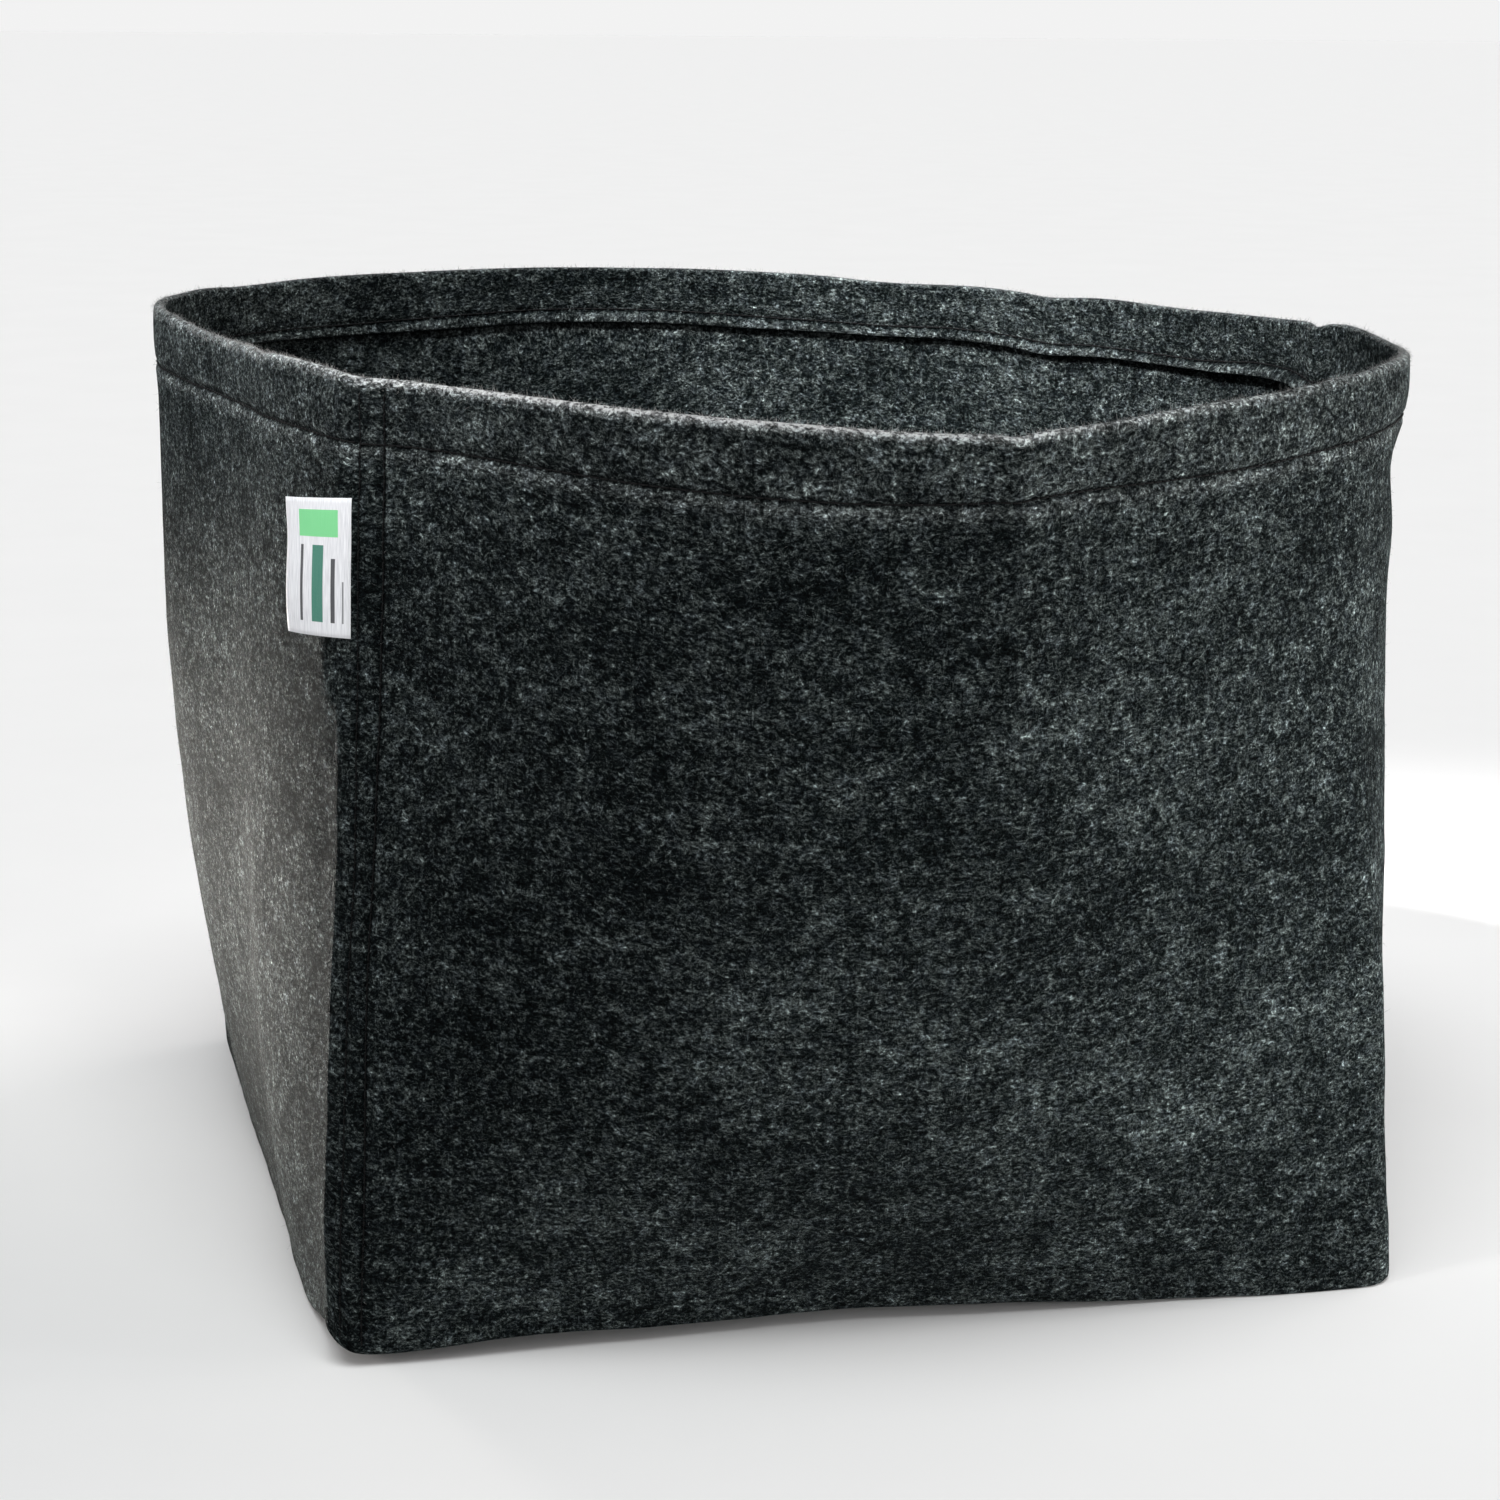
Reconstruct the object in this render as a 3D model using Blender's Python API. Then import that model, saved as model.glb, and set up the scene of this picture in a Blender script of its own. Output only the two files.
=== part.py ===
"""Fabric grow bag: one strip of needle-punched felt wrapped round a square felt base.

The strip's ends lap at the front-left corner under two rows of stitching, its top edge is
turned in as a hem, and its bottom edge is turned in and sewn to the base's upturned edge.
A woven label is caught in the corner seam. Metres, +Z up, the base centred on the origin and
resting on z = 0. The front face looks along -Y.
"""

import math

import bpy
import numpy as np

BAG = "fabric_grow_bag"

# Felt and its outline
FELT = 0.0025  # thickness of one ply
PLY_GAP = 0.0003  # room between two plies that lie together
BASE_GAP = 0.0009  # room between the base's upturned edge and the wall
BASE_SIDE = 0.488  # the square that the wall is sewn round
BASE_CORNER = 0.014  # how tightly the felt turns at a bottom corner
WALL_WIDTH = 0.425  # of the strip, from the bottom edge to the rim, along the felt
FLARE_POWER = 1.6  # above 1, the square opens to the mouth mostly in the lower half

# How far the mouth lies from the middle of the bag, at each corner and side in turn
MOUTH_REACH = {
    "front_left": 0.312,
    "front": 0.340,
    "front_right": 0.323,
    "right": 0.284,
    "back_right": 0.264,
    "back": 0.275,
    "back_left": 0.335,
    "left": 0.265,
}
MOUTH_SLIP = -0.007  # how far round the rim the seam has drifted from the corner's direction

# Hem, laps and allowances
HEM_DEPTH = 0.0335  # from the rim to the hem's raw edge
HEM_STITCH = 0.0285  # from the rim to its row of stitching
BASE_ALLOWANCE = 0.012  # felt turned up inside along the bottom seam
LAP_WIDTH = 0.020  # of the strip's end, behind its beginning
LAP_GAP = 0.0009  # leaves room for the label between the plies
LAP_EASE = 0.008  # length over which a ply steps in to pass behind another
LAP_START = BASE_ALLOWANCE + 0.020  # the lapped end is trimmed clear of the bottom seam
FOLD_STEPS = 4  # facets round a turned edge
SIDE_STEPS = 14  # facets along each side of the wall

# Thread
THREAD = 0.0008  # diameter
THREAD_GAP = 0.0005  # off the felt
EDGE_ROW = 0.0025  # from the corner's ridge to the first row
SECOND_ROW = 0.013  # and to the second
ROW_FOOT = 0.004  # where both rows begin, above the bottom edge
ROW_HEAD = 0.006  # and where they end, below the rim
BASE_ROW = 0.007  # height of the bottom seam's stitching
BACK_TACK = 0.0015  # the hem's row stops this far short of the ridge

# Label
LABEL_TALL = 0.0585
LABEL_WIDE = 0.035  # the part that stands out of the seam
LABEL_CLOTH = 0.0003
LABEL_DROP = 0.052  # from the rim to its top edge
LABEL_TUCK = 0.011  # caught in the seam
LABEL_HEADING = math.radians(143)  # the way it stands out, anticlockwise from +X

GIRTH = 4 * BASE_SIDE - (8 - 2 * math.pi) * BASE_CORNER
QUARTER = GIRTH / 4
HALF_ARC = BASE_CORNER * math.pi / 4
FOLD = 2 * FELT + PLY_GAP  # across a ply turned back on itself
LAP_STEP = FELT + LAP_GAP  # how far in the lapped end lies


def clear_scene():
    for item in list(bpy.data.objects):
        bpy.data.objects.remove(item, do_unlink=True)


def smooth_step(x):
    x = min(max(x, 0.0), 1.0)
    return x * x * (3 - 2 * x)


# The wall's outline, by distance round it from the ridge of the front-left corner,
# anticlockwise seen from above.


def base_point(distance):
    """A point of the rounded square at the foot of the wall."""
    side, along = divmod(distance % GIRTH, QUARTER)
    half = BASE_SIDE / 2
    inner = half - BASE_CORNER
    if along < HALF_ARC:
        angle = math.radians(225) + along / BASE_CORNER
        x = -inner + BASE_CORNER * math.cos(angle)
        y = -inner + BASE_CORNER * math.sin(angle)
    elif along > QUARTER - HALF_ARC:
        angle = math.radians(315) - (QUARTER - along) / BASE_CORNER
        x = inner + BASE_CORNER * math.cos(angle)
        y = -inner + BASE_CORNER * math.sin(angle)
    else:
        x = -inner + along - HALF_ARC
        y = -half
    turn = side * math.pi / 2
    return np.array([
        x * math.cos(turn) - y * math.sin(turn),
        x * math.sin(turn) + y * math.cos(turn),
    ])


def mouth_reach(angle):
    """The reach in one direction: the smooth periodic curve through the eight given."""
    count = len(MOUTH_REACH)
    total = 0.0
    for index, reach in enumerate(MOUTH_REACH.values()):
        away = angle - math.radians(225) - index * 2 * math.pi / count
        if abs(math.sin(away / 2)) < 1e-9:
            return reach
        total += reach * math.sin(count * away / 2) / (count * math.tan(away / 2))
    return total


def mouth_curve(samples=360):
    """The mouth as points, from the front-left corner's direction on, and the length to each."""
    angles = math.radians(225) + np.linspace(0, 2 * math.pi, samples + 1)
    reaches = np.array([mouth_reach(angle) for angle in angles])
    points = np.column_stack([reaches * np.cos(angles), reaches * np.sin(angles)])
    steps = np.linalg.norm(np.diff(points, axis=0), axis=1)
    return points, np.concatenate([[0.0], np.cumsum(steps)])


def mouth_points(distances):
    points, lengths = mouth_curve()
    girth = lengths[-1]
    at = (np.asarray(distances) / GIRTH * girth + MOUTH_SLIP) % girth
    return np.column_stack([np.interp(at, lengths, points[:, k]) for k in (0, 1)])


def column_distances():
    """Where the wall's columns stand: close together round a corner and by the lap."""
    straight = np.linspace(HALF_ARC, QUARTER - HALF_ARC, SIDE_STEPS + 1)
    quarter = [0.0, HALF_ARC / 2, *straight, QUARTER - HALF_ARC / 2]
    columns = [side * QUARTER + d for side in range(4) for d in quarter]
    columns += [LAP_WIDTH, LAP_WIDTH + LAP_EASE, GIRTH - HALF_ARC - LAP_EASE]
    columns.append(GIRTH - PLY_GAP * 3)
    return np.array(sorted(columns))


def row_heights():
    """How far up the felt its rows lie, the turned edges' own rows apart."""
    plain = np.linspace(LAP_START, WALL_WIDTH - HEM_DEPTH, 6)
    lap_head = WALL_WIDTH - (FOLD + LAP_STEP) / 2 - PLY_GAP
    turned = [FOLD / 2, BASE_ALLOWANCE, WALL_WIDTH - HEM_STITCH, lap_head]
    return np.array(sorted([*turned, *plain]))


class Wall:
    """The wall's outer surface as a grid of points, read between them at any place."""

    def __init__(self):
        self.columns = column_distances()
        self.rows = np.concatenate([[0.0], row_heights(), [WALL_WIDTH]])
        self.around = np.append(self.columns, GIRTH)
        foot = np.array([base_point(d) for d in self.columns])
        mouth = mouth_points(self.columns)
        self.grid = np.array([self.ring(foot, mouth, h) for h in self.rows])
        rise = self.rise(foot, mouth)
        self.points = np.concatenate([self.grid, rise[..., None]], axis=2)

    def ring(self, foot, mouth, height):
        """The outline at one height, scaled so that the felt's girth stays the same."""
        open_by = 1 - (1 - height / WALL_WIDTH) ** FLARE_POWER
        ring = (1 - open_by) * foot + open_by * mouth
        steps = np.linalg.norm(np.roll(ring, -1, axis=0) - ring, axis=1)
        middle = ring.mean(axis=0)
        return middle + (ring - middle) * GIRTH / steps.sum()

    def rise(self, foot, mouth, steps=34):
        """Heights above the floor: the felt doesn't stretch, so it rises less where it leans."""
        fine = np.linspace(0, WALL_WIDTH, steps + 1)
        rings = np.array([self.ring(foot, mouth, h) for h in fine])
        across = np.linalg.norm(np.diff(rings, axis=0), axis=2)
        up = np.sqrt((WALL_WIDTH / steps) ** 2 - across**2)
        heights = np.concatenate([np.zeros((1, len(foot))), np.cumsum(up, axis=0)])
        return np.array([
            [np.interp(h, fine, heights[:, k]) for k in range(len(foot))]
            for h in self.rows
        ])

    def inward(self, row):
        """Vectors into the bag at each column of a row, mitred so that an offset is even."""
        ring = self.points[row, :, :2]
        after = np.roll(ring, -1, axis=0) - ring
        after /= np.linalg.norm(after, axis=1)[:, None]
        square = np.column_stack([-after[:, 1], after[:, 0]])
        before = np.roll(square, 1, axis=0)
        return (square + before) / (1 + (square * before).sum(axis=1))[:, None]

    def at(self, distance, height, depth=0.0):
        """The point this far round, this far up the felt and this deep inside its outer face."""
        row = int(np.clip(np.searchsorted(self.rows, height) - 1, 0, len(self.rows) - 2))
        share = (height - self.rows[row]) / (self.rows[row + 1] - self.rows[row])
        lower = self.on_row(row, distance, depth)
        upper = self.on_row(row + 1, distance, depth)
        return lower + (upper - lower) * share

    def on_row(self, row, distance, depth):
        distance = distance % GIRTH
        column = int(np.searchsorted(self.around, distance, side="right") - 1)
        after = (column + 1) % len(self.columns)
        span = self.around[column + 1] - self.around[column]
        share = (distance - self.around[column]) / span
        inward = self.inward(row)
        ends = []
        for k in (column, after):
            moved = self.points[row, k].copy()
            moved[:2] += inward[k] * depth
            ends.append(moved)
        return ends[0] + (ends[1] - ends[0]) * share


def end_step(distance, height):
    """How far in the strip's last stretch lies, where it turns behind the strip's beginning."""
    start = GIRTH - HALF_ARC - LAP_EASE
    along = smooth_step((distance - start) / (LAP_EASE + HALF_ARC / 2))
    up = smooth_step((height - BASE_ALLOWANCE) / (LAP_START - BASE_ALLOWANCE))
    return LAP_STEP * along * up


def hem_depth_inside(distance):
    """From the outer face to the hem's own: more where the lapped end lies in the fold."""
    over_lap = 1 - smooth_step((distance - LAP_WIDTH) / LAP_EASE)
    return FOLD + LAP_STEP * over_lap


def strip_profile(wall, distance, inset):
    """The strip's section as (height, depth), from its turned-up bottom edge to the hem's raw edge.

    An inset of 0 gives the felt's face, and an inset of one ply gives its back.
    """
    profile = [(BASE_ALLOWANCE, FOLD - inset)]
    radius = FOLD / 2 - inset
    for step in range(FOLD_STEPS):
        turn = math.pi * step / FOLD_STEPS
        profile.append((FOLD / 2 - radius * math.sin(turn), FOLD / 2 + radius * math.cos(turn)))
    profile += [(h, inset) for h in wall.rows[1:-1]]
    across = hem_depth_inside(distance)
    radius = across / 2 - inset
    for step in range(FOLD_STEPS + 1):
        turn = math.pi * step / FOLD_STEPS
        height = WALL_WIDTH - across / 2 + radius * math.sin(turn)
        profile.append((height, across / 2 - radius * math.cos(turn)))
    profile.append((WALL_WIDTH - HEM_DEPTH, across - inset))
    return profile


def strip_points(wall, distance, inset):
    return [
        wall.at(distance, height, depth + end_step(distance, height))
        for height, depth in strip_profile(wall, distance, inset)
    ]


def new_cloth(name, collection, face_points, back_points, faces):
    """One closed piece of cloth: its face, its back and the edge between them."""
    count = len(face_points)
    directed = {(a, b) for face in faces for a, b in zip(face, face[1:] + face[:1])}
    back = [tuple(count + k for k in reversed(face)) for face in faces]
    edge = [
        (b, a, count + a, count + b) for a, b in sorted(directed) if (b, a) not in directed
    ]
    points = [tuple(p) for p in face_points + back_points]
    mesh = bpy.data.meshes.new(name)
    mesh.from_pydata(points, [], faces + back + edge)
    shape = bpy.data.objects.new(name, mesh)
    collection.objects.link(shape)
    return shape


def paint(shape, colour, roughness):
    material = bpy.data.materials.new(shape.name)
    material.use_nodes = True
    shader = material.node_tree.nodes["Principled BSDF"]
    shader.inputs["Base Color"].default_value = (*colour, 1.0)
    shader.inputs["Roughness"].default_value = roughness
    shader.inputs["Metallic"].default_value = 0.0
    shape.data.materials.append(material)


def grid_faces(columns, rows):
    """Faces of a grid whose points run up each column in turn, facing out of the bag."""
    faces = []
    for c in range(columns - 1):
        for r in range(rows - 1):
            a = c * rows + r
            faces.append((a, a + rows, a + rows + 1, a + 1))
    return faces


def make_wall_panel(wall, collection):
    """The strip: a grid of felt, whose lapped end goes on past the ridge without its turned edges."""
    face_points = [p for d in wall.columns for p in strip_points(wall, d, 0)]
    back_points = [p for d in wall.columns for p in strip_points(wall, d, FELT)]
    height = len(face_points) // len(wall.columns)
    faces = grid_faces(len(wall.columns), height)
    first_row = FOLD_STEPS + 1 + list(wall.rows[1:]).index(LAP_START)
    lap_rows = [h for h in wall.rows[1:-1] if h >= LAP_START]
    last_column = len(face_points) - height
    edge = [last_column + first_row + r for r in range(len(lap_rows))]
    for distance in [d for d in wall.columns if d <= LAP_WIDTH]:
        beyond = [len(face_points) + r for r in range(len(lap_rows))]
        face_points += [wall.at(distance, up, LAP_STEP) for up in lap_rows]
        back_points += [wall.at(distance, up, LAP_STEP + FELT) for up in lap_rows]
        for r in range(len(lap_rows) - 1):
            faces.append((edge[r], beyond[r], beyond[r + 1], edge[r + 1]))
        edge = beyond
    shape = new_cloth("wall_panel", collection, face_points, back_points, faces)
    paint(shape, (0.045, 0.049, 0.051), 0.95)


def make_base_panel(wall, collection):
    """The square base, its edge turned up inside the wall's own turned edge."""
    outer = FOLD + BASE_GAP
    inner = outer + FELT
    levels = [
        (0.0, inner),
        (FELT, outer),
        (BASE_ALLOWANCE, outer),
        (BASE_ALLOWANCE, inner),
        (2 * FELT, inner),
        (FELT, inner + FELT),
    ]
    ring = wall.columns[:-1]
    points = []
    for height, depth in levels:
        for distance in ring:
            point = wall.at(distance, height, depth)
            point[2] = height
            points.append(tuple(point))
    count = len(ring)
    faces = [tuple(reversed(range(count)))]
    for level in range(len(levels) - 1):
        for k in range(count):
            a = level * count + k
            b = level * count + (k + 1) % count
            faces.append((a, b, b + count, a + count))
    faces.append(tuple(range(len(points) - count, len(points))))
    mesh = bpy.data.meshes.new("base_panel")
    mesh.from_pydata(points, [], faces)
    shape = bpy.data.objects.new("base_panel", mesh)
    collection.objects.link(shape)
    paint(shape, (0.040, 0.043, 0.045), 0.95)


def make_thread(name, collection, path):
    """One row of thread, as a cord along the middle of its stitches."""
    curve = bpy.data.curves.new(name, "CURVE")
    curve.dimensions = "3D"
    curve.bevel_depth = THREAD / 2
    curve.bevel_resolution = 0
    curve.use_fill_caps = True
    spline = curve.splines.new("POLY")
    spline.points.add(len(path) - 1)
    for point, place in zip(spline.points, path):
        point.co = (*place, 1.0)
    shape = bpy.data.objects.new(name, curve)
    collection.objects.link(shape)
    paint(shape, (0.010, 0.010, 0.011), 0.70)


def make_hem_threads(wall, collection):
    """The hem's needle thread outside, which rides over the corner's rows, and its bobbin thread."""
    height = WALL_WIDTH - HEM_STITCH
    off = THREAD_GAP + THREAD / 2
    stops = [d for d in wall.columns if BACK_TACK < d < GIRTH - 2 * BACK_TACK]
    run = [BACK_TACK, *stops, GIRTH - 2 * BACK_TACK]
    outside = []
    inside = []
    for distance in run:
        over_rows = 1 - smooth_step((distance - SECOND_ROW - 0.004) / LAP_EASE)
        lift = off + over_rows * (THREAD + THREAD_GAP)
        step = end_step(distance, height)
        outside.append(wall.at(distance, height, step - lift))
        inside.append(wall.at(distance, height, step + hem_depth_inside(distance) + off))
    make_thread("hem_needle_thread", collection, outside)
    make_thread("hem_bobbin_thread", collection, inside)


def make_corner_threads(wall, collection):
    """Two rows up the lapped corner. Inside, the hem hides the top of each."""
    off = THREAD_GAP + THREAD / 2
    head = WALL_WIDTH - ROW_HEAD
    hem_edge = WALL_WIDTH - HEM_DEPTH - 0.001
    for name, distance in (("edge_row", EDGE_ROW), ("second_row", SECOND_ROW)):
        front = [ROW_FOOT, *[h for h in wall.rows if ROW_FOOT < h < head], head]
        back = [LAP_START + 0.001, *[h for h in wall.rows if LAP_START < h < hem_edge], hem_edge]
        behind = LAP_STEP + FELT + off
        outside = [wall.at(distance, h, -off) for h in front]
        inside = [wall.at(distance, h, behind) for h in back]
        make_thread(name + "_needle_thread", collection, outside)
        make_thread(name + "_bobbin_thread", collection, inside)


def make_base_thread(wall, collection):
    """The bottom seam's thread, on the inner face of the base's upturned edge."""
    depth = FOLD + BASE_GAP + FELT + THREAD_GAP + THREAD / 2
    path = []
    for distance in wall.columns[1:-1]:
        point = wall.at(distance, BASE_ROW, depth)
        path.append(point)
    make_thread("base_seam_thread", collection, path)


def make_size_label(wall, collection):
    """A strip of woven tape caught between the lapped plies, standing out of the corner."""
    bottom = WALL_WIDTH - LABEL_DROP - LABEL_TALL
    heights = bottom + np.linspace(0, LABEL_TALL, 4)
    depth = FELT + PLY_GAP
    heading = np.array([math.cos(LABEL_HEADING), math.sin(LABEL_HEADING), 0.0])
    behind = np.array([heading[1], -heading[0], 0.0]) * LABEL_CLOTH
    face_points = []
    back_points = []
    for out in (LABEL_WIDE, LABEL_WIDE / 2, LABEL_CLOTH):
        stood = [wall.at(0.0, h, depth) + heading * out for h in heights]
        face_points += stood
        back_points += [p + behind for p in stood]
    for distance in [d for d in wall.columns if d <= LABEL_TUCK]:
        face_points += [wall.at(distance, h, depth) for h in heights]
        back_points += [wall.at(distance, h, depth + LABEL_CLOTH) for h in heights]
    faces = grid_faces(len(face_points) // len(heights), len(heights))
    shape = new_cloth("size_label", collection, face_points, back_points, faces)
    paint(shape, (0.82, 0.83, 0.82), 0.45)


def main():
    clear_scene()
    collection = bpy.data.collections.new(BAG)
    bpy.context.scene.collection.children.link(collection)
    wall = Wall()
    make_wall_panel(wall, collection)
    make_base_panel(wall, collection)
    make_hem_threads(wall, collection)
    make_corner_threads(wall, collection)
    make_base_thread(wall, collection)
    make_size_label(wall, collection)


main()
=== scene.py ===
"""Looks of the fabric grow bag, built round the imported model.

The wall is one strip of thick felt. It is lofted from its square foot to its round mouth with
its girth kept, then pushed into the soft swells, folds and creases that the standing bag has.
Places on the strip are given as (distance, height): how far round it from the ridge of the
front-left corner, anticlockwise from above, and how far up the felt from its bottom edge.
Metres, +Z up.
"""

import math

import bpy
import numpy as np
from mathutils import Matrix, Vector


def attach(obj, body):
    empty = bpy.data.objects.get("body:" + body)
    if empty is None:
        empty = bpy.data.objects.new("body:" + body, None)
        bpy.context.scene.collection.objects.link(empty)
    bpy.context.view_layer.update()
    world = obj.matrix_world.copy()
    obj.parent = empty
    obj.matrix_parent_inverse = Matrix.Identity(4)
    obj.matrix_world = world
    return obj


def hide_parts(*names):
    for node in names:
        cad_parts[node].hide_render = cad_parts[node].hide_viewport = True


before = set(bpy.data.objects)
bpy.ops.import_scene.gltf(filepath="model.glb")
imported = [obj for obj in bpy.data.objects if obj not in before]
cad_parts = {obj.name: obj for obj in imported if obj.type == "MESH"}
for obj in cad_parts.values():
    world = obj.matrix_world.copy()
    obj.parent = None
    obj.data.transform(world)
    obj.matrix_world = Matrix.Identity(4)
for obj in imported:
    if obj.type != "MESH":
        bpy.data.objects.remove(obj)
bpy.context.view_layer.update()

# ---------------- the bag's own sizes

FELT = 0.0025  # thickness of one ply
PLY_GAP = 0.0003  # between the two plies of a fold
BASE_GAP = 0.0009  # between the wall's turned edge and the base's
BASE_SIDE = 0.488
BASE_CORNER = 0.014
WALL_WIDTH = 0.425
FLARE_POWER = 1.6  # how early on its way up the wall takes the mouth's shape
MOUTH_REACH = (0.312, 0.340, 0.323, 0.284, 0.264, 0.275, 0.335, 0.265)  # from the front-left on
MOUTH_SLIP = -0.007  # how far the mouth is turned round against the foot
MOUTH_STEPS = 1440
HEM_DEPTH = 0.0335
HEM_STITCH = 0.0285  # from the rim down to the row
BASE_ALLOWANCE = 0.012  # how much of an edge is turned up at the base seam
LAP_WIDTH = 0.020
LAP_EASE = 0.010
LAP_STEP = 0.0029  # how far in the lapped end lies, pressed flat by its two rows
LAP_START = BASE_ALLOWANCE + 0.020
EDGE_ROW = 0.0025  # the corner's two rows, from the ridge
SECOND_ROW = 0.013
ROW_FOOT = 0.004  # how far they stop short of the strip's bottom and top
ROW_HEAD = 0.006
BASE_ROW = 0.007  # height of the base seam's row
THREAD = 0.0008
LABEL_TALL = 0.0585
LABEL_WIDE = 0.035
LABEL_CLOTH = 0.0003
LABEL_DROP = 0.052  # from the rim down to its top
LABEL_TUCK = 0.011  # how much of it is caught in the seam
LABEL_HEADING = math.radians(143)  # which way it stands out

GIRTH = 4 * BASE_SIDE - (8 - 2 * math.pi) * BASE_CORNER
QUARTER = GIRTH / 4
HALF_ARC = BASE_CORNER * math.pi / 4
STRIP_END = GIRTH - 0.0009  # where the outer cloth stops, just short of the ridge
FOLD = 2 * FELT + PLY_GAP  # across two plies
BASE_DEPTH = FOLD + BASE_GAP  # from the wall's outer face to the base's turned-up edge
HEM_ROW = WALL_WIDTH - HEM_STITCH  # height of the hem's row of stitches
FIRST_CORNER = math.radians(225)  # the direction of the front-left corner

STITCH = 0.0042  # from one hole to the next
GROOVE = 0.0011  # how far a row of stitches pulls the felt in
GROOVE_WIDTH = 0.0017
PRESSED_SHADE_WIDTH = 0.0008  # half the width of the dark line it leaves: compressed felt with painted shade in the groove

# ---------------- soft shape

# Swells and hollows: (distance, height, half-width round, half-height, push out)
SWELLS = (
    (0.11, 0.00, 0.120, 0.060, -0.0060),  # the front's bottom edge is drawn in
    (0.22, 0.00, 0.060, 0.060, -0.0060),
    (0.45, 0.00, 0.050, 0.040, 0.0050),
    (0.30, 0.41, 0.050, 0.150, 0.0040),  # the front's fold stands forward at the mouth
    (0.60, 0.375, 0.090, 0.018, -0.0040),  # the right side falls in under the hem
    (0.60, 0.310, 0.090, 0.060, -0.0045),
    (0.58, 0.17, 0.090, 0.060, 0.0035),
    (0.10, 0.30, 0.050, 0.060, -0.0020),
    (0.16, 0.12, 0.060, 0.050, 0.0022),
    (0.36, 0.20, 0.050, 0.080, -0.0025),
    (1.62, 0.22, 0.060, 0.090, 0.0025),  # the left side bellies
    (1.830, 0.13, 0.054, 0.125, 0.0050),  # and stands proud before it turns to the seam
    (1.800, 0.14, 0.022, 0.110, 0.0014),
    (1.915, 0.16, 0.022, 0.140, -0.0012),
    (-0.010, 0.303, 0.007, 0.009, -0.0022),  # a dent under the label
    (1.50, 0.08, 0.050, 0.040, -0.0030),
    (1.16, 0.10, 0.070, 0.060, -0.0030),
    (1.30, 0.24, 0.060, 0.070, 0.0025),
    (0.80, 0.12, 0.060, 0.060, 0.0025),
    (0.88, 0.28, 0.045, 0.070, -0.0025),
)

# Creases left by folding the bag flat: (distance, lowest, highest, push out, half-width)
CREASES = (
    (0.290, 0.22, 0.425, 0.0036, 0.012),
    (0.757, 0.30, 0.425, -0.0028, 0.008),
    (1.262, 0.22, 0.425, 0.0022, 0.011),
    (1.064, 0.28, 0.425, -0.0018, 0.012),
)

# Places moved bodily sideways: (distance, height, half-width round, half-height, along x, along y)
NUDGES = (
    (0.000, 0.00, 0.030, 0.060, -0.0040, 0.0030),  # the seamed corner's foot
)

# Dips and rises of the edges: (distance, half-width, at the rim, at the foot)
EDGE_LIFTS = (
    (0.000, 0.060, 0.0, 0.0018),
    (-0.020, 0.030, 0.0, 0.0034),
    (-0.014, 0.018, 0.0, 0.0100),
    (-0.045, 0.020, 0.0, 0.0035),
    (0.075, 0.050, 0.0, 0.0030),
    (0.110, 0.090, 0.0, 0.0030),
    (0.240, 0.060, 0.0, 0.0012),
    (0.300, 0.045, 0.0, 0.0034),
    (1.200, 0.070, 0.0, 0.0015),
    (0.035, 0.050, -0.0034, 0.0),
    (0.190, 0.060, 0.0030, 0.0),
    (0.370, 0.040, 0.0016, 0.0),
    (0.290, 0.007, -0.0014, 0.0),
    (0.757, 0.008, -0.0020, 0.0),
    (0.870, 0.060, -0.0036, 0.0),
    (1.050, 0.045, -0.0030, 0.0),
    (1.260, 0.100, 0.0050, 0.0),
    (1.440, 0.040, -0.0040, 0.0),
    (1.500, 0.030, -0.0016, 0.0),
    (0.720, 0.040, 0.0030, 0.0),
    (1.700, 0.050, -0.0022, 0.0),
    (1.760, 0.055, -0.0030, 0.0),
    (1.815, 0.018, -0.0016, 0.0),
)

# Where the hem is turned in less deep: (distance, half-width, by how much)
HEM_RISES = (
    (0.315, 0.050, 0.0027),
    (0.805, 0.035, 0.0036),
    (1.000, 0.085, 0.0034),
    (1.235, 0.120, 0.0066),
)

# Right of the seam the lapped, double-sewn cloth stands flat and turns the corner sharp.
CORNER_HOLLOW = 0.010
CORNER_REACH = 0.042

CLOUD_SEED = 41
UNDULATION = 0.0013  # of the broad unevenness over the whole wall
LUMPS = 0.00035  # and of the felt's own thick and thin places
PILLOW = 0.0009  # how far the hem swells between its fold and its row of stitches
PUCKER = 0.0006  # and the single felt just below them
HEM_SWAY = 0.0006  # how far the hem wanders in and out along the rim
RIM_WANDER = 0.0004  # and the rim up and down


def smooth(x):
    x = np.clip(x, 0.0, 1.0)
    return x * x * (3 - 2 * x)


def bell(x):
    return np.exp(-x * x)


def foot_points(distances):
    """The rounded square at the foot of the wall, as x and y."""
    side, along = np.divmod(np.mod(distances, GIRTH), QUARTER)
    half = BASE_SIDE / 2
    inner = half - BASE_CORNER
    leaving = FIRST_CORNER + along / BASE_CORNER
    coming = FIRST_CORNER + math.pi / 2 - (QUARTER - along) / BASE_CORNER
    arcs = [along < HALF_ARC, along > QUARTER - HALF_ARC]
    x = np.select(
        arcs,
        [-inner + BASE_CORNER * np.cos(leaving), inner + BASE_CORNER * np.cos(coming)],
        -inner + along - HALF_ARC,
    )
    y = np.select(
        arcs,
        [-inner + BASE_CORNER * np.sin(leaving), -inner + BASE_CORNER * np.sin(coming)],
        -half,
    )
    turn = side * math.pi / 2
    return np.column_stack([x * np.cos(turn) - y * np.sin(turn), x * np.sin(turn) + y * np.cos(turn)])


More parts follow.
